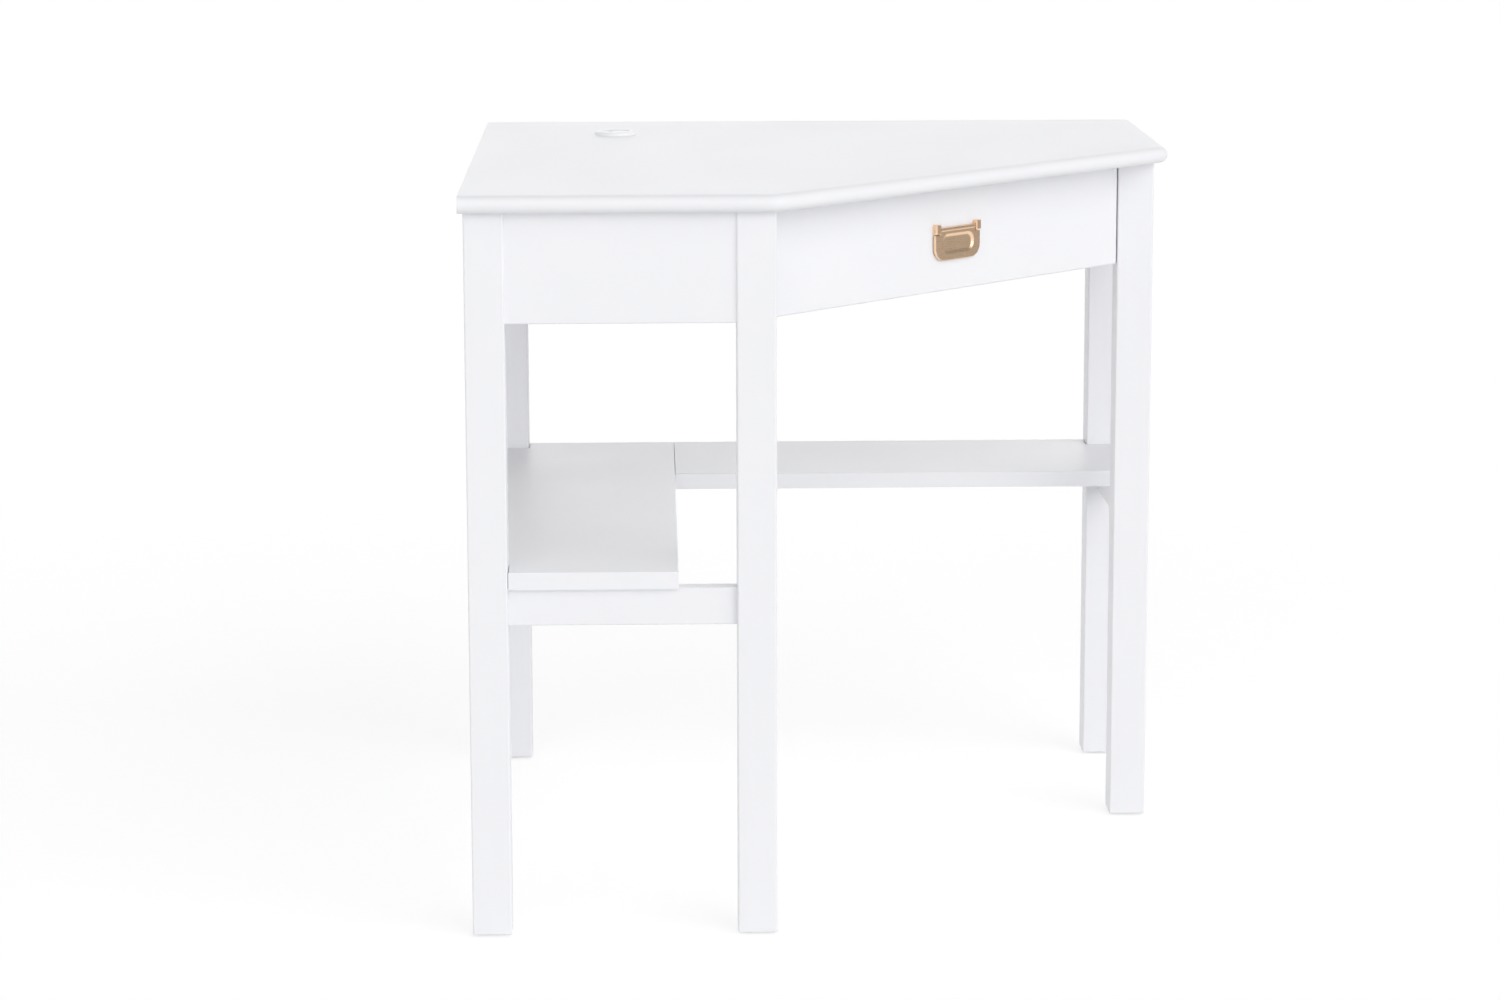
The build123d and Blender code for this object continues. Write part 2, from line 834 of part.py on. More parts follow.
# Glides under the legs
leg_middle = leg_size / 2
corner_foot = Pos(corner_point(leg_wall_inset + leg_middle, leg_wall_inset + leg_middle, 0))
wall_foot = Pos(corner_point(end_leg_start + leg_middle, leg_wall_inset + leg_middle, 0))
front_foot = Pos(corner_point(end_leg_start + leg_middle, front_leg_start + leg_middle, 0))
add_fitting("leg_glides", corner_foot * glide())
drill("leg_corner", corner_foot * glide_hole())
for name, foot in (("leg_right_wall", wall_foot), ("leg_right_front", front_foot)):
    add_fitting_pair("leg_glides", foot * glide())
    drill(name, foot * glide_hole())

# Brackets that hold the top: on the wall aprons, the end aprons and the hangers
near_corner = corner_point(wall_leg_end + bracket_inset, wall_apron_inside, under_top)
near_end = corner_point(end_leg_start - bracket_inset, wall_apron_inside, under_top)
on_end_apron = corner_point(end_apron_inside, wall_leg_end + bracket_inset, under_top)
on_hanger = Vector(hanger_outside, rail_back + bracket_inset, under_top)
top_bracket_places = [
    ("apron_right_wall", near_corner, left_wall),
    ("apron_right_wall", near_end, left_wall),
    ("apron_right_end", on_end_apron, -right_wall),
    ("hanger_right", on_hanger, across),
]
bracket_reach = bracket_gauge + screw_bite
for rail, origin, away in top_bracket_places:
    frame = frame_at(origin, away, -up)
    add_fitting_pair("top_brackets", frame * angle_bracket())
    for seat in bracket_seats():
        add_fitting_pair("top_bracket_screws", frame * seat * pan_screw(bracket_gauge))
    drill(rail, frame * upright_screw_frame() * shank_hole(bracket_reach))
    drill_pair("table_top", frame * flat_screw_frame() * shank_hole(bracket_reach))

# Brackets that hold the shelf: on the corner leg and on the legs at the walls' ends
bracket_line = (shelf_back + wall_leg_end) / 2
at_corner_leg = corner_point(wall_leg_end, bracket_line, shelf_bottom)
at_wall_leg = corner_point(end_leg_start, bracket_line, shelf_bottom)
shelf_bracket_places = [
    ("leg_corner", "shelf_left", at_corner_leg, right_wall),
    ("leg_right_wall", "shelf_right", at_wall_leg, -right_wall),
]
for post, slab, origin, away in shelf_bracket_places:
    frame = frame_at(origin, away, -up)
    add_fitting_pair("shelf_brackets", frame * angle_bracket())
    for seat in bracket_seats():
        add_fitting_pair("shelf_screws", frame * seat * pan_screw(bracket_gauge))
    post_hole = frame * upright_screw_frame() * shank_hole(bracket_reach)
    drill(post, post_hole)
    if post == "leg_corner":
        drill(post, mirrored(post_hole))
    slab_hole = frame * flat_screw_frame() * shank_hole(bracket_reach)
    drill(slab, slab_hole)
    drill("shelf_left", mirrored(slab_hole))

# Plates under the shelf seam
for v in (shelf_back + plate_inset, shelf_inner_edge - plate_inset):
    seam_point = corner_point(shelf_inner_edge + shelf_seam_gap / 2, v, shelf_bottom)
    frame = frame_at(seam_point, right_wall, up)
    add_fitting("seam_plates", frame * seam_plate())
    for seat, slab in zip(plate_screw_frames(), ("shelf_right", "shelf_left")):
        add_fitting("shelf_screws", frame * seat * pan_screw(plate_gauge))
        drill(slab, frame * seat * shank_hole(plate_gauge + screw_bite))

# Front rail screws: up into the top, and down into the hangers
rail_middle = (rail_front + rail_back) / 2
rail_screw_length = front_rail_thickness + screw_bite
up_screw = frame_at((hanger_inside - bracket_inset, rail_middle, rail_bottom), across, -up)
down_screw = frame_at((hanger_inside + hanger_thickness / 2, rail_middle, under_top), across, up)
for seat, receiver in ((up_screw, "table_top"), (down_screw, "hanger_right")):
    add_fitting_pair("rail_screws", seat * sunk_screw(rail_screw_length))
    drill_pair("front_rail", seat * sunk_hole(rail_screw_length))
    if receiver == "table_top":
        drill_pair(receiver, seat * shank_hole(rail_screw_length))
    else:
        drill(receiver, seat * shank_hole(rail_screw_length))

# Slide screws
for y in (rail_front + slide_screw_inset, rail_front + slide_length - slide_screw_inset):
    into_hanger = frame_at((outer_web[0], y, slide_level), inwards, -across)
    add_fitting_pair("hanger_slide_screws", into_hanger * low_screw(slide_gauge))
    drill("slide_outer_right", into_hanger * shank_hole(slide_gauge))
    drill("hanger_right", into_hanger * shank_hole(slide_gauge + screw_bite))
    into_side = frame_at((inner_web[1], y, slide_level), inwards, across)
    add_fitting_pair("drawer_slide_screws", into_side * low_screw(slide_gauge))
    drill("slide_inner_right", into_side * shank_hole(slide_gauge))
    drill("drawer_side_right", into_side * shank_hole(slide_gauge + screw_bite))

# Drawer box screws, through the sides into the ends of the cross walls
box_screw_seats = {
    "drawer_subfront": front_back + subfront_thickness / 2,
    "drawer_back": box_back - back_thickness / 2,
}
for wall, y in box_screw_seats.items():
    for z in (bottom_level + bottom_thickness + box_screw_edge / 2, box_top - box_screw_edge):
        seat = frame_at((box_half, y, z), inwards, across)
        add_fitting_pair("drawer_box_screws", seat * sunk_screw(box_screw_length))
        drill("drawer_side_right", seat * sunk_hole(box_screw_length))
        drill_pair(wall, seat * shank_hole(box_screw_length))

# Drawer front screws and pull screws, both from inside the box
inside_subfront = front_back + subfront_thickness
front_screw_x = box_half - side_thickness - front_screw_inset
for z in (bottom_level + front_screw_edge, box_top - front_screw_edge):
    seat = frame_at((front_screw_x, inside_subfront, z), across, inwards)
    add_fitting_pair("drawer_front_screws", seat * pan_screw(subfront_thickness))
    drill_pair("drawer_subfront", seat * shank_hole(subfront_thickness))
    drill_pair("drawer_front", seat * shank_hole(subfront_thickness + screw_bite))

pull_grip = subfront_thickness + front_thickness + lug_screw_bite - screw_bite
seat = frame_at((lug_middle, inside_subfront, pull_level + lug_screw_height), across, inwards)
add_fitting_pair("pull_lugs", pull_lug())
add_fitting_pair("pull_screws", seat * pan_screw(pull_grip))
drill_pair("drawer_subfront", seat * shank_hole(subfront_thickness))
drill_pair("drawer_front", seat * shank_hole(subfront_thickness + front_thickness))


def finished(name, piece):
    """The piece with all its holes cut."""
    return piece - holes[name] if name in holes else piece


for name, piece in single.items():
    nodes[name] = finished(name, piece)
for name, piece in paired.items():
    nodes[name] = finished(name, piece)
    nodes[name.replace("right", "left")] = mirrored(nodes[name])
for name, solids in groups.items():
    nodes[name] = Compound(children=[part.solid() for part in solids])

os.makedirs("parts", exist_ok=True)
for name, shape in nodes.items():
    export_step(shape, f"parts/{name}.step")
print(len(nodes), "nodes written")
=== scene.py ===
# %% [markdown]
# # A white corner desk
# The desk was drawn in CAD and arrives as named pieces, each tied to the body that it moves with.
# This lesson keeps those pieces where they are and adds what a drawing leaves out: paint, metal and
# plastic finishes, screws with a thread and a cross recess, a floor, soft light and a camera.

# %% Load the desk
import json

import bpy
import bmesh
import numpy as np
from mathutils import Matrix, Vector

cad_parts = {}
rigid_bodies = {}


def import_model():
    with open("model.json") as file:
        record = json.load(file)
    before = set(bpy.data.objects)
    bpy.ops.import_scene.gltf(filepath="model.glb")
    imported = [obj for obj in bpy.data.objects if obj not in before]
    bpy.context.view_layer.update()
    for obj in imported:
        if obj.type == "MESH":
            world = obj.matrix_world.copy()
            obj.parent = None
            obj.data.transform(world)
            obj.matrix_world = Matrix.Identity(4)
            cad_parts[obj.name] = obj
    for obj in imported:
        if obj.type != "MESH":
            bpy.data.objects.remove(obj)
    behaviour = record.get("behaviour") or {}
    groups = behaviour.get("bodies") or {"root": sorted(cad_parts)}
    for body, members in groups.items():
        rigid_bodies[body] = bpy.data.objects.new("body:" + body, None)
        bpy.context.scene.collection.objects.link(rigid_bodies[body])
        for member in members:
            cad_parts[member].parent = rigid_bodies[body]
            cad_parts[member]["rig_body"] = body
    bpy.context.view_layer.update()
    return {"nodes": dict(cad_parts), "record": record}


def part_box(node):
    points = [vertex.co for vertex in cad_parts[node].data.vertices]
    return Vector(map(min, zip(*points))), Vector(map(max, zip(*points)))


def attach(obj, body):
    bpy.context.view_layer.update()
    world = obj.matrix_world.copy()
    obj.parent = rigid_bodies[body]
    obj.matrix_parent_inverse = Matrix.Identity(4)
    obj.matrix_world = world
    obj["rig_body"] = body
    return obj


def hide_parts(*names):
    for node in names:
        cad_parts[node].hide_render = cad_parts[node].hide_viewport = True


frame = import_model()

# %% [markdown]
# ## Where things are
# Two walls meet behind this desk, so places are easiest to give as distances from that room corner:
# u along the right-hand wall, v along the left-hand wall. The desk's own axes run 45 degrees to the
# walls, and one small function turns the first kind of place into the second.

# %% Directions along the walls
slant = 1 / np.sqrt(2)
right_wall = np.array([slant, -slant, 0])
left_wall = np.array([-slant, -slant, 0])
up = np.array([0.0, 0.0, 1.0])
room_corner = np.array([0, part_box("table_top")[1].y, 0])


def corner_point(u, v, z):
    """The room corner, plus u along the right wall, v along the left wall and z upwards."""
    return room_corner + u * right_wall + v * left_wall + z * up


print("room corner", room_corner.round(4))

# %% [markdown]
# ## Camera
# The picture looks straight at the desk's left end, from a little above the top and about four
# metres away. A long lens from far off keeps the legs almost parallel. The camera could be aimed
# with a constraint, but three angles and a matrix say exactly where it looks. A small downward
# shift of the lens keeps the upright legs from leaning inwards as much as a plain tilt would.

# %% Place the camera
image_width = 1500
sensor_width = 36
focal_pixels = 3853.8
lens_centre_above_middle = 100
camera_place = corner_point(u=0.1913, v=4.5387, z=1.1981)
turn, tilt, roll = np.radians([1.476, 9.627, -0.13])

level_ahead = np.sin(turn) * right_wall - np.cos(turn) * left_wall
level_right = np.cos(turn) * right_wall + np.sin(turn) * left_wall
ahead = np.cos(tilt) * level_ahead - np.sin(tilt) * up
level_up = np.cross(level_right, ahead)
view_right = np.cos(roll) * level_right + np.sin(roll) * level_up
view_up = np.cos(roll) * level_up - np.sin(roll) * level_right

camera = bpy.data.objects.new("camera", bpy.data.cameras.new("camera"))
bpy.context.scene.collection.objects.link(camera)
camera.data.sensor_width = sensor_width
camera.data.lens = focal_pixels * sensor_width / image_width
camera.data.shift_y = -lens_centre_above_middle / image_width
axes = np.column_stack([view_right, view_up, -ahead])
camera.matrix_world = Matrix.Translation(camera_place) @ Matrix(axes.tolist()).to_4x4()
bpy.context.scene.camera = camera
print("camera at", camera_place.round(3), "lens", round(camera.data.lens, 2), "mm")

# %% [markdown]
# ## A helper for surfaces
# Every new mesh here is a grid of points: rows along one parameter, columns along the other. Quads
# join neighbours, and the last column joins the first to close a tube. Several copies of a grid
# can share one mesh. Points that meet in a pole are merged, so the surface is closed there.

# %% Mesh from a grid of points
mm = 0.001
pole_gap = 0.0001 * mm


def surface(name, grids):
    """Mesh over grids shaped (copies, rows, columns, 3); each grid's columns close into a tube."""
    copies, rows, columns = grids.shape[:3]
    index = np.arange(copies * rows * columns).reshape(copies, rows, columns)
    index = np.concatenate([index, index[:, :, :1]], axis=2)
    corners = [index[:, :-1, :-1], index[:, 1:, :-1], index[:, 1:, 1:], index[:, :-1, 1:]]
    quads = np.stack(corners, axis=-1).reshape(-1, 4)
    mesh = bpy.data.meshes.new(name)
    mesh.from_pydata(grids.reshape(-1, 3).tolist(), [], quads.tolist())
    build = bmesh.new()
    build.from_mesh(mesh)
    bmesh.ops.remove_doubles(build, verts=build.verts, dist=pole_gap)
    bmesh.ops.recalc_face_normals(build, faces=build.faces)
    build.to_mesh(mesh)
    build.free()
    piece = bpy.data.objects.new(name, mesh)
    bpy.context.scene.collection.objects.link(piece)
    return piece


print("points closer than", round(pole_gap / mm, 6), "mm are merged")

# %% [markdown]
# ## A helper for shader maths
# Finishes are mixed from node sockets. Wiring each Math node by hand hides the formula, so one class
# wraps a socket and lets Python's own operators add the nodes: with it, 1 - mask reads as it is
# meant. Any other node comes from one method, which takes the node's settings and then its inputs.

# %% Sockets that can be added and multiplied
class Wire:
    """An output socket in a node tree, with operators that add Math nodes."""

    def __init__(self, tree, socket=None):
        self.tree = tree
        self.socket = socket

    def add(self, kind, settings=None, inputs=None, output=0):
        """Add a node, set its settings, then give its inputs values or links; returns one output."""
        node = self.tree.nodes.new(kind)
        for name, value in (settings or {}).items():
            if name == "stops":
                for stop, (place, colour) in zip(node.color_ramp.elements, value):
                    stop.position = place
                    stop.color = colour
            else:
                setattr(node, name, value)
        for name, value in (inputs or {}).items():
            if isinstance(value, Wire):
                self.tree.links.new(value.socket, node.inputs[name])
            else:
                node.inputs[name].default_value = value
        return Wire(self.tree, node.outputs[output])

    def maths(self, operation, first, second):
        """Math node on two values or wires."""
        return self.add("ShaderNodeMath", {"operation": operation}, {0: first, 1: second})

    def __add__(self, other):
        return self.maths("ADD", self, other)

    def __sub__(self, other):
        return self.maths("SUBTRACT", self, other)

    def __rsub__(self, other):
        return self.maths("SUBTRACT", other, self)

    def __mul__(self, other):
        return self.maths("MULTIPLY", self, other)

    def largest(self, other):
        return self.maths("MAXIMUM", self, other)

    __radd__ = __add__
    __rmul__ = __mul__


print("wire operators ready")

# %% [markdown]
# ## Finishes
# Each finish starts from the same parts: the place on the piece in metres, noise at a chosen grain
# size, a mix of two colours, and a bump. The grain can be stretched along an axis, as rolling and
# brushing do to metal. Pictures of real surfaces would also do, but they need unwrapping and repeat;
# noise fits any shape at its true scale. What is the same all over is set on the shader itself; only
# colour, roughness and bump vary.

# %% What every finish is made from
class Finish:
    """A material with one shader, and the few patterns that the finishes below are mixed from."""

    def __init__(self, name, metallic=0.0, **constants):
        self.material = bpy.data.materials.new(name)
        self.material.use_nodes = True
        tree = self.material.node_tree
        self.shader = tree.nodes["Principled BSDF"]
        self.shader.inputs["Metallic"].default_value = metallic
        for socket, value in constants.items():
            self.shader.inputs[socket].default_value = value
        self.sheet = Wire(tree)
        self.place = self.sheet.add("ShaderNodeTexCoord", output="Object")

    def grain(self, size, stretch=(1, 1, 1), detail=2.0):
        """Noise from 0 to 1 whose lumps are about size metres wide, longer where stretch is above 1."""
        scale = tuple(1 / (size * factor) for factor in stretch)
        place = self.sheet.add("ShaderNodeMapping", inputs={"Vector": self.place, "Scale": scale})
        lumps = {"Vector": place, "Scale": 1.0, "Detail": detail}
        return self.sheet.add("ShaderNodeTexNoise", inputs=lumps)

    def between(self, mask, low, high):
        """Number that goes from low to high as the mask goes from 0 to 1."""
        return low + (high - low) * mask

    def blend(self, mask, first, second):
        """Colour that goes from first to second as the mask goes from 0 to 1."""
        # A Mix node has sockets for each kind of data: inputs 6 and 7 and output 2 are the colours.
        colours = {0: mask, 6: (*first, 1), 7: (*second, 1)}
        return self.sheet.add("ShaderNodeMix", {"data_type": "RGBA"}, colours, output=2)

    def finish(self, colour, roughness, height, depth):
        """Link colour and roughness, and raise the surface by the height pattern times depth metres."""
        relief = {"Height": height, "Distance": depth, "Strength": 1.0}
        bump = self.sheet.add("ShaderNodeBump", inputs=relief)
        for socket, value in (("Base Color", colour), ("Roughness", roughness), ("Normal", bump)):
            self.sheet.tree.links.new(value.socket, self.shader.inputs[socket])
        print(self.material.name, "has", len(self.sheet.tree.nodes), "nodes")
        return self.material


finishes = {}

# %% [markdown]
# ### Satin white paint
# The top, legs, rails, shelf and drawer front are sprayed with a satin white that leans a little
# cool. Sprayed paint is never quite flat: it dries with a skin like fine orange peel, a few
# millimetres across, and it is slightly more matt in some places than in others. Both are far too
# small to model, so a bump and a roughness pattern carry them.

# %% Paint
paint = Finish("satin_white_paint", IOR=1.46)
peel = paint.grain(size=3.5 * mm)
drift = paint.grain(size=90 * mm, detail=3.0)
paint_colour = paint.blend(drift, (0.862, 0.866, 0.892), (0.882, 0.884, 0.906))
paint_roughness = paint.between(drift, 0.38, 0.48)
finishes["white_paint"] = paint.finish(paint_colour, paint_roughness, height=peel, depth=0.03 * mm)

# %% [markdown]
# ### Boards inside the desk
# The drawer box and the rails behind the drawer front are boards wrapped in thin white foil. Foil is
# more matt than paint, a little warmer, and printed with a faint grain that runs along the board. A
# wave pattern would make the lines too regular, so the grain is noise that is stretched sideways.

# %% Foil on board
foil = Finish("matt_white_foil", IOR=1.45)
foil_grain = foil.grain(size=1.6 * mm, stretch=(14, 14, 1))
foil_drift = foil.grain(size=60 * mm)
foil_colour = foil.blend(foil_grain, (0.815, 0.812, 0.8), (0.85, 0.848, 0.838))
foil_roughness = foil.between(foil_drift, 0.5, 0.62)
finishes["drawer_board"] = foil.finish(foil_colour, foil_roughness, height=foil_grain, depth=0.02 * mm)
finishes["white_board"] = finishes["drawer_board"]

# %% [markdown]
# ### Zinc and steel
# The slides and brackets are rolled steel with a bright zinc plate. Rolling leaves fine lines along
# the strip, and the plate itself is cloudy. The screws have the same plate with no rolling lines.
# The cams are cast, so they are greyer and have a sandy skin. Most of what the eye takes for metal is
# its reflection, so the patterns change the roughness more than the colour.

# %% Zinc-plated steel
rolled = Finish("rolled_zinc", metallic=1.0)
roll_lines = rolled.grain(size=0.6 * mm, stretch=(1, 60, 1))
cloud = rolled.grain(size=12 * mm, detail=3.0)
rolled_colour = rolled.blend(cloud, (0.56, 0.575, 0.59), (0.69, 0.7, 0.71))
rolled_roughness = rolled.between(roll_lines, 0.26, 0.4)
rolled_zinc = rolled.finish(rolled_colour, rolled_roughness, height=roll_lines, depth=0.008 * mm)
finishes["zinc_steel"] = rolled_zinc

plated = Finish("zinc_screw", metallic=1.0)
plate_cloud = plated.grain(size=3 * mm)
plated_colour = plated.blend(plate_cloud, (0.52, 0.53, 0.54), (0.64, 0.65, 0.66))
plated_roughness = plated.between(plate_cloud, 0.24, 0.4)
plated_zinc = plated.finish(plated_colour, plated_roughness, height=plate_cloud, depth=0.006 * mm)
finishes["screw_steel"] = plated_zinc

cast = Finish("cast_zinc", metallic=1.0)
sand = cast.grain(size=0.7 * mm)
cast_colour = cast.blend(sand, (0.42, 0.43, 0.44), (0.54, 0.55, 0.56))
cast_roughness = cast.between(sand, 0.4, 0.55)
finishes["cam_zinc"] = cast.finish(cast_colour, cast_roughness, height=sand, depth=0.03 * mm)

# %% [markdown]
# ### Satin brass
# The pull is cast, brushed along its length and plated in a pale champagne brass. Brushing lines are
# a fraction of a millimetre wide and many millimetres long, so the noise is stretched along the
# drawer. They change the roughness and the bump, which is what makes highlights spread.

# %% Brass
brass = Finish("champagne_brass", metallic=1.0)
brush = brass.grain(size=0.5 * mm, stretch=(40, 1, 1), detail=3.0)
tone = brass.grain(size=20 * mm)
brass_colour = brass.blend(tone, (0.9, 0.635, 0.43), (0.95, 0.69, 0.475))
brass_roughness = brass.between(brush, 0.22, 0.36)
finishes["pull_brass"] = brass.finish(brass_colour, brass_roughness, height=brush, depth=0.012 * mm)

# %% [markdown]
# ### Beech, white plastic and nylon
# Dowels are turned beech with short dark flecks, which a ramp cuts out of stretched noise. The cable
# grommet is moulded in white plastic with a fine even texture. The glides under the legs are nylon, a
# little yellower and more matt. Dowels are hidden once the desk is together, but each piece may also be
# used on its own, so they get a finish too.

# %% Wood and plastics
beech = Finish("plain_beech")
fleck = beech.grain(size=0.9 * mm, stretch=(5, 5, 1), detail=4.0)
fleck_stops = {"stops": [(0.36, (0.45, 0.28, 0.15, 1)), (0.52, (0.7, 0.52, 0.34, 1))]}
beech_colour = beech.sheet.add("ShaderNodeValToRGB", fleck_stops, {"Fac": fleck})
beech_roughness = beech.between(fleck, 0.5, 0.7)
finishes["beech"] = beech.finish(beech_colour, beech_roughness, height=fleck, depth=0.05 * mm)

plastic = Finish("white_plastic", IOR=1.49)
mould = plastic.grain(size=0.6 * mm)
plastic_colour = plastic.blend(mould, (0.875, 0.878, 0.89), (0.895, 0.898, 0.91))
plastic_roughness = plastic.between(mould, 0.3, 0.4)
moulded_white = plastic.finish(plastic_colour, plastic_roughness, height=mould, depth=0.01 * mm)
finishes["white_plastic"] = moulded_white

nylon = Finish("natural_nylon", IOR=1.53)
milk = nylon.grain(size=4 * mm)
nylon_colour = nylon.blend(milk, (0.77, 0.76, 0.72), (0.83, 0.82, 0.79))
nylon_roughness = nylon.between(milk, 0.45, 0.55)
finishes["nylon"] = nylon.finish(nylon_colour, nylon_roughness, height=milk, depth=0.02 * mm)

# %% [markdown]
# ## Dress the pieces
# The record says which finish each piece takes. Materials could be handed out one by one, but one loop
# over the record misses none. A CAD piece keeps its mesh, and only the material in its slot changes.

# %% Give each piece its finish
slot_of = {row["node"]: row["material_slot"] for row in frame["record"]["subparts"]}
for node, piece in frame["nodes"].items():
    piece.data.materials.clear()
    piece.data.materials.append(finishes[slot_of[node]])
print("dressed", len(slot_of), "pieces in", len(set(slot_of.values())), "finishes")

# %% [markdown]
# ## Screws
# The drawing has each screw as a smooth peg with a plain head. A real one has a cross recess and a
# thread, which show wherever the drawer is open or the desk is seen from below. First the drawn screws
# are found. One CAD piece holds several, so its mesh is split into separate solids, and each solid
# tells its own axis, head and length. Typing in their places would do as well, until a size changes.

# %% Where the drawn screws are
same_place = 0.01 * mm


def islands(mesh):
    """Split a mesh into its separate solids: corners at one place share a number, and each face pulls
    the numbers of its corners down to their lowest until nothing changes."""
    places = np.empty(len(mesh.vertices) * 3)
    mesh.vertices.foreach_get("co", places)
    places = places.reshape(-1, 3)
    mesh.calc_loop_triangles()
    faces = np.empty(len(mesh.loop_triangles) * 3, int)
    mesh.loop_triangles.foreach_get("vertices", faces)
    shared, number = np.unique((places / same_place).round(), axis=0, return_inverse=True)
    number = number.ravel()
    faces = number[faces].reshape(-1, 3)
    label = np.arange(len(shared))
    while True:
        lowest = label.copy()
        np.minimum.at(lowest, faces, label[faces].min(axis=1)[:, None])
        if (lowest == label).all():
            break
        label = lowest
    return [places[label[number] == value] for value in np.unique(label)]


def screw_frame(points):
    """Axis, head middle and length of one drawn screw: it is longest along its axis, its middle is half
    way between its limits across the axis, and its head is at the end that is widest."""
    choices = np.array([[1, 0, 0], [0, 1, 0], up, right_wall, left_wall])
    axis = choices[np.ptp(points @ choices.T, axis=0).argmax()]
    along = points @ axis
    upright = abs(axis @ up) > slant
    side = np.array([1.0, 0, 0]) if upright else np.cross(axis, up)
    across = (side, np.cross(axis, side))
    middle = sum(((points @ d).min() + (points @ d).max()) / 2 * d for d in across)
    width = np.linalg.norm(points - middle - along[:, None] * axis, axis=1)
    if along[width.argmax()] < (along.min() + along.max()) / 2:
        axis, along, side = -axis, -along, -side
    return np.column_stack([side, np.cross(axis, side), axis]), middle + along.max() * axis, np.ptp(along)


print("pull screws found", len(islands(frame["nodes"]["pull_screws"].data)))

# %% [markdown]
# ### The shape of a screw
# A screw is a profile carried round an axis, so it can be worked out as one grid: rows run from the
# middle of the head down to the tip, columns run round. Cutting the cross out with a Boolean would
# leave long thin faces. Here the columns follow the walls of the cross, and lowering the ones between
# them makes the recess.

# %% Sizes of a screw
# The cross: half the width of an arm, how far the arms reach, how far their walls lean out, the share of
# the depth that is lost towards their ends, and the rings inside, in half-widths of an arm
recess_arm = 0.42 * mm
recess_reach = 1.95 * mm
recess_wall = 0.12 * mm
recess_rise = 0.35
recess_rings = np.array([0, 0.5, 1.0, 1.45, 2.2, 3.2])
recess_depths = {"pan": 1.5 * mm, "low": 1.0 * mm, "sunk": 1.3 * mm}

# The heads, as pairs of radius and height in millimetres from the flat middle to the shank
head_profiles = {
    "pan": [(2.2, 0.0), (2.66, -0.09), (3.05, -0.35), (3.31, -0.74), (3.4, -1.2), (3.4, -2.0), (1.9, -2.0)],
    "low": [(2.7, 0.0), (3.05, -0.05), (3.2, -0.2), (3.2, -1.1), (3.1, -1.3), (1.9, -1.3)],
    "sunk": [(2.9, 0.0), (3.2, 0.0), (2.5, -0.7), (1.75, -1.45), (1.5, -1.6)],
}

# The shank: its thread, with the ridge's half-width as a share of the pitch, and its tapered tip
thread_pitch = 1.5 * mm
ridge_half_width = 0.3
rings_per_turn = 5
root_radius = 1.25 * mm
crest_radius = 1.75 * mm
tip_length = 3 * mm
print("heads", sorted(head_profiles), "thread", 2 * crest_radius / mm, "mm by", thread_pitch / mm, "mm")

# %% The screw's surface
quarter_turn = np.pi / 2
column_step = quarter_turn / 6
# Highest sines of the angles to the two edges of a wall, which keep both below 45 degrees
edge_limit = 0.69
far_edge_limit = 0.7


def column_angles(radius, on_head):
    """Six columns in each quarter turn. On the head they follow the two edges of each recess wall, where
    the sine of the angle is the edge's offset over the radius. Elsewhere they are evenly spaced."""
    reach = np.maximum(radius, recess_arm)
    edge = np.arcsin(np.clip(recess_arm / reach, 0, edge_limit))
    far_edge = np.arcsin(np.clip((recess_arm + recess_wall) / reach, 0, far_edge_limit))
    edge = np.where(on_head, edge, column_step)
    far_edge = np.where(on_head, far_edge, 2 * column_step)
    diagonal = np.full_like(edge, quarter_turn / 2)
    quarter = np.hstack([0 * edge, edge, far_edge, diagonal, quarter_turn - far_edge, quarter_turn - edge])
    return np.hstack([quarter + step * quarter_turn for step in range(4)])


def screw_grid(head, length):
    """Rows from the head's middle to the tip, 24 columns round. Radius and height follow the head's
    profile, then the shank; the recess lowers the columns between the walls of the cross; the thread
    is a ridge whose place along the shank shifts by one pitch per turn."""
    rim = np.array(head_profiles[head]) * mm
    flat = np.concatenate([recess_rings * recess_arm, [recess_reach, recess_reach + recess_wall]])
    shank_start = rim[-1, 1]
    turns = (length + shank_start) / thread_pitch
    shank_z = np.linspace(shank_start, -length, int(turns * rings_per_turn))
    radius = np.concatenate([flat, rim[:, 0], np.full(len(shank_z), crest_radius)])[:, None]
    height = np.concatenate([np.zeros(len(flat)), rim[:, 1], shank_z])[:, None]
    row = np.arange(len(radius))[:, None]
    on_head = row < len(flat)
    on_shank = row >= len(flat) + len(rim)
    angle = column_angles(radius, on_head)

    across = np.abs(radius * np.cos(angle))
    down = np.abs(radius * np.sin(angle))
    in_arm = np.minimum(across, down) <= recess_arm + same_place
    in_cross = in_arm & (radius <= recess_reach + same_place) & on_head
    depth = recess_depths[head] * (1 - recess_rise * radius / recess_reach)
    height = height - np.where(in_cross, depth, 0)

    phase = (height / thread_pitch + angle / (2 * np.pi)) % 1
    ridge = np.clip(1 - np.abs(phase - 0.5) / ridge_half_width, 0, 1)
    taper = np.clip((height + length) / tip_length, 0, 1)
    threaded = (root_radius + (crest_radius - root_radius) * ridge) * taper
    radius = np.where(on_shank, threaded, radius)
    return np.stack([radius * np.cos(angle), radius * np.sin(angle), height], axis=-1)


print("a pan head screw of 16 mm has", screw_grid("pan", 16 * mm).shape[0], "rows")

# %% [markdown]
# ### Put the screws in
# Pan heads stand proud on brackets and boards, low heads fit between the members of a slide, and sunk
# heads lie flush in wood. One mesh holds all screws of a CAD piece and takes that piece's place: it
# rides on the same body, so the drawer's screws come out with the drawer.

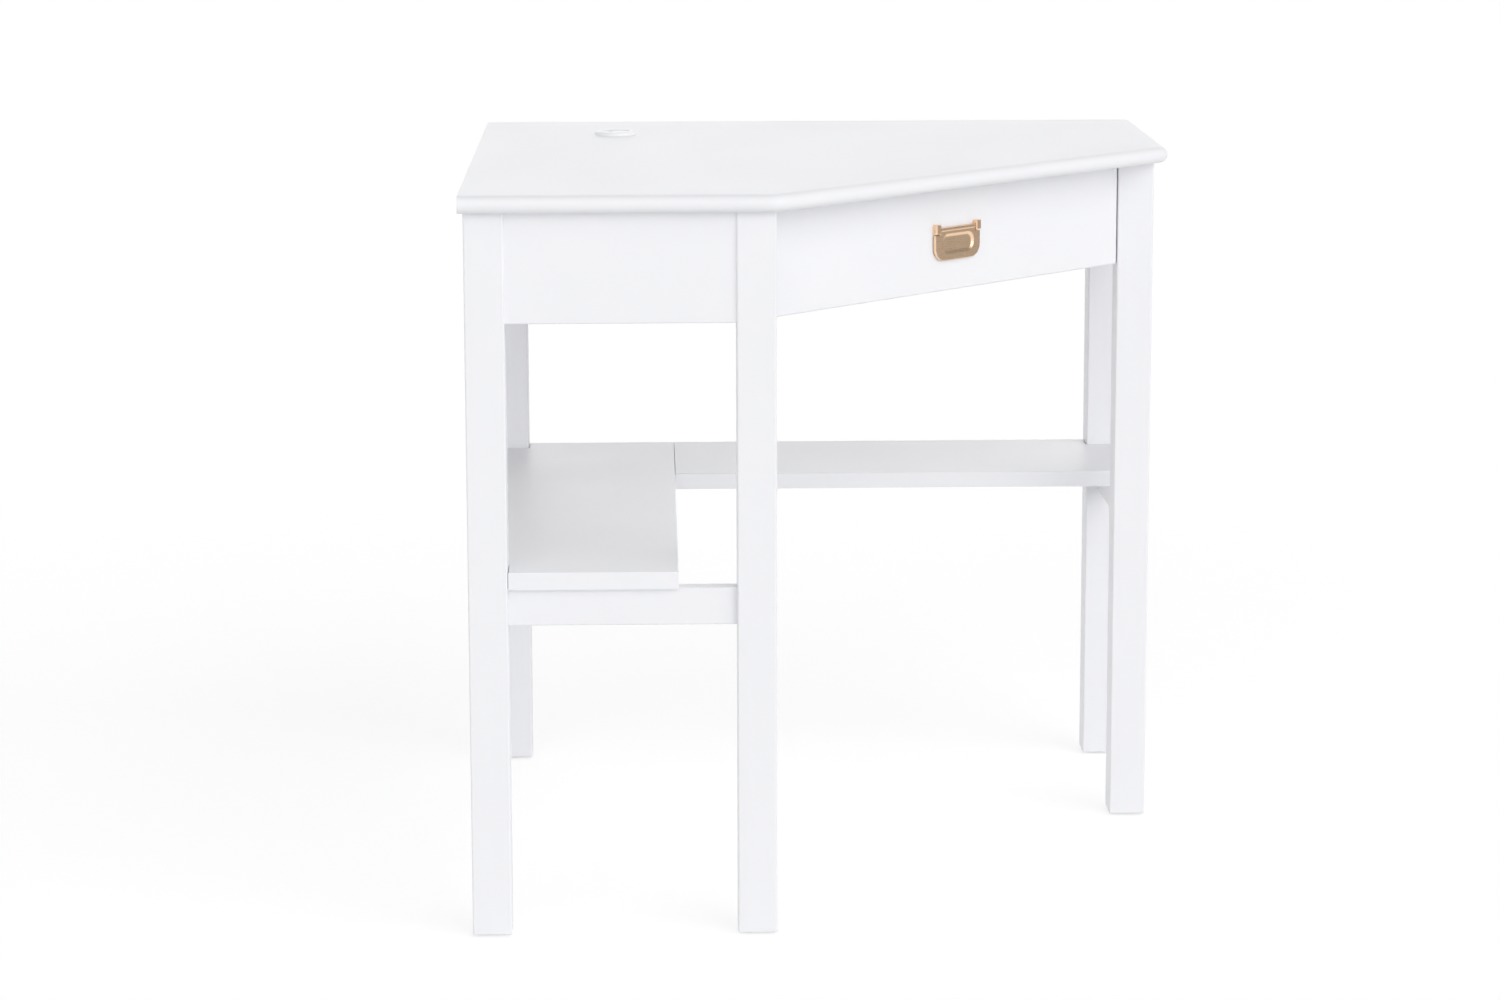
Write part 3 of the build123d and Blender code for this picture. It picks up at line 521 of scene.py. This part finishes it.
# %% Make and place the screws
screw_heads = {
    "top_bracket_screws": "pan",
    "shelf_screws": "pan",
    "drawer_front_screws": "pan",
    "pull_screws": "pan",
    "hanger_slide_screws": "low",
    "drawer_slide_screws": "low",
    "rail_screws": "sunk",
    "drawer_box_screws": "sunk",
}
for node, head in screw_heads.items():
    frames = [screw_frame(points) for points in islands(frame["nodes"][node].data)]
    length = min(found for _, _, found in frames)
    local = screw_grid(head, length)
    grids = np.stack([local @ turned.T + head_middle for turned, head_middle, _ in frames])
    piece = surface("driven_" + node, grids)
    piece.data.materials.append(finishes["screw_steel"])
    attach(piece, frame["nodes"][node]["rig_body"])
    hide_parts(node)
    print(node, len(frames), "screws,", round(length / mm, 1), "mm,", len(piece.data.polygons), "faces")

# %% [markdown]
# ## Floor and background
# The desk stands on a pale floor in front of a white background, as in a product picture. A curved
# backdrop would also do, but one floor that reaches far behind the desk looks the same from every
# side. It is a flat round sheet, and so is a card that comes later, so one function makes both.

# %% Floor
floor_radius = 40.0
sheet_rings = 9
sheet_columns = 48


def disc(name, middle, radius, first, second):
    """Flat round sheet: the middle, plus each ring's radius times cosine along first and sine along
    second. Rings lie closer together near the middle."""
    rings = radius * np.linspace(0, 1, sheet_rings)[:, None, None] ** 2
    angles = np.linspace(0, 2 * np.pi, sheet_columns, endpoint=False)[None, :, None]
    grid = middle + rings * np.cos(angles) * first + rings * np.sin(angles) * second
    sheet = surface(name, grid[None])
    return sheet


floor = disc("floor", np.zeros(3), floor_radius, right_wall, -left_wall)
print("floor radius", floor_radius, "m,", len(floor.data.polygons), "faces")

# %% [markdown]
# ### What is seen of the floor
# A floor that is merely lit comes out light grey. More light would whiten it, and bleach the desk too.
# So the camera and shiny surfaces see the floor at half its own tone, with a glow added. The glow
# lights no other surface, and the soft shadow on the floor stays.

# %% Floor finish
floor_tone = 0.88
floor_glow = 0.66
floor_material = bpy.data.materials.new("pale_floor")
floor_material.use_nodes = True
floor_tree = floor_material.node_tree
floor_tree.nodes.remove(floor_tree.nodes["Principled BSDF"])
floor_sheet = Wire(floor_tree)
seen_rays = ("Is Camera Ray", "Is Glossy Ray", "Is Transmission Ray")
by_eye, in_shine, through_glass = (
    floor_sheet.add("ShaderNodeLightPath", output=ray) for ray in seen_rays
)
seen = by_eye.largest(in_shine).largest(through_glass)
matt = floor_sheet.add("ShaderNodeBsdfDiffuse", inputs={"Color": floor_tone - floor_tone / 2 * seen})
glow = floor_sheet.add("ShaderNodeEmission", inputs={"Strength": floor_glow * seen})
both = floor_sheet.add("ShaderNodeAddShader", inputs={0: matt, 1: glow})
floor_tree.links.new(both.socket, floor_tree.nodes["Material Output"].inputs["Surface"])
floor.data.materials.append(floor_material)
print("floor nodes", len(floor_tree.nodes))

# %% [markdown]
# ## A grey card for the brass
# Polished metal has no tone of its own: it shows what stands in front of it. All white round it makes
# it look like flat paint, so a photographer stands a grey card where the metal's flat face looks. The
# The rounded edges still catch the white room and light up. The card is a glow that stands in for a
# lit grey card, and it gets darker towards its top as painted shade, which the lower wall of the dish
# shows as a dark line. Its place is found by reflecting the line of sight in the drawer front, and only
# reflections see it.

# %% Grey card
card_radius = 1.0
card_distance = 1.1
mirror_in_front = np.array([1, -1, 1])
pull_low, pull_high = (np.array(corner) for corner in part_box("pull_flap"))
pull_middle = (pull_low + pull_high) / 2
mirrored_sight = (pull_middle - camera_place) * mirror_in_front
card_direction = mirrored_sight / np.linalg.norm(mirrored_sight)
card_sideways = np.cross(card_direction, up)
card_middle = pull_middle + card_distance * card_direction
card_middle[2] = card_radius
card = disc("grey_card", card_middle, card_radius, card_sideways, up)
card.visible_camera = False
card.visible_diffuse = False
card.visible_transmission = False
card.visible_shadow = False
print("card at", card_middle.round(3))

# %% Card finish
# The card glows instead of being lit: its emission stands in for a lit grey card, and the fade towards its
# top is painted shade.
card_foot_glow = 0.54
card_painted_shade_fade = 0.2
card_material = bpy.data.materials.new("card_glow_with_painted_shade")
card_material.use_nodes = True
card_shader = card_material.node_tree.nodes["Principled BSDF"]
card_shader.inputs["Base Color"].default_value = (0, 0, 0, 1)
card_shader.inputs["Specular IOR Level"].default_value = 0.0
card_shader.inputs["Emission Strength"].default_value = 1.0
card_sheet = Wire(card_material.node_tree)
card_point = card_sheet.add("ShaderNodeTexCoord", output="Object")
card_height = card_sheet.add("ShaderNodeSeparateXYZ", inputs={"Vector": card_point}, output="Z")
# Painted shade: the card's glow falls off with height.
card_glow = card_foot_glow - card_painted_shade_fade * card_height
card_sheet.tree.links.new(card_glow.socket, card_shader.inputs["Emission Color"])
card.data.materials.append(card_material)
card_top_glow = card_foot_glow - card_painted_shade_fade * 2 * card_radius
print("card tone", card_foot_glow, "at its foot,", round(card_top_glow, 2), "at its top")

# %% [markdown]
# ## Light from all round
# In a white studio soft light comes from all round, and more of it from the walls than from overhead.
# A picture of a studio could light the desk, but a formula is easier to set: the level is the one
# overhead, plus a gain that grows with the square of how far a direction is below overhead.

# %% World
overhead_level = 0.4
horizon_gain = 0.82
world = bpy.data.worlds.new("studio")
bpy.context.scene.world = world
world.use_nodes = True
sky = Wire(world.node_tree)
direction = sky.add("ShaderNodeTexCoord", output="Generated")
height = sky.add("ShaderNodeSeparateXYZ", inputs={"Vector": direction}, output="Z")
below_overhead = 1 - height
light_level = overhead_level + horizon_gain * (below_overhead * below_overhead)
background = world.node_tree.nodes["Background"]
background.inputs["Color"].default_value = (1, 1, 1, 1)
world.node_tree.links.new(light_level.socket, background.inputs["Strength"])
print("world level", overhead_level, "overhead,", round(overhead_level + horizon_gain, 2), "at the horizon")

# %% [markdown]
# ## Lamps
# A broad key lamp, low in front, makes the drawer front the brightest face and throws the short soft
# shadow under the nose of the top. A weak lamp behind the desk, where the camera looks, is mirrored in
# the top and the shelf and brightens them. Another on the left puts a highlight in the brass. All are
# kept low and broad enough that white paint shows its own colour from every side. A sun lamp of
# strength pi makes a white face that looks straight at it fully bright, so a level is a share of that.

# %% Three lamps
# Each lamp: degrees round from the front, degrees up, spread in degrees, level
lamps = {"key": (-2, 28, 60, 0.365), "left_fill": (-65, 26, 30, 0.085), "backdrop": (137, 16, 45, 0.138)}
for name, (azimuth, elevation, spread, level) in lamps.items():
    around, above = np.radians([azimuth, elevation])
    outwards = np.array([np.sin(around) * np.cos(above), -np.cos(around) * np.cos(above), np.sin(above)])
    sideways = np.array([np.cos(around), np.sin(around), 0])
    lamp = bpy.data.objects.new(name, bpy.data.lights.new(name, "SUN"))
    lamp.data.angle = np.radians(spread)
    lamp.data.energy = level * np.pi
    axes = np.column_stack([sideways, np.cross(outwards, sideways), outwards])
    lamp.matrix_world = Matrix(axes.tolist()).to_4x4()
    bpy.context.scene.collection.objects.link(lamp)
    print(name, "gives a white face", level, "of its brightness")

# %% [markdown]
# ## Picture settings
# The Standard view shows colours as they are written.

# %% Settings
bpy.context.scene.view_settings.view_transform = "Standard"
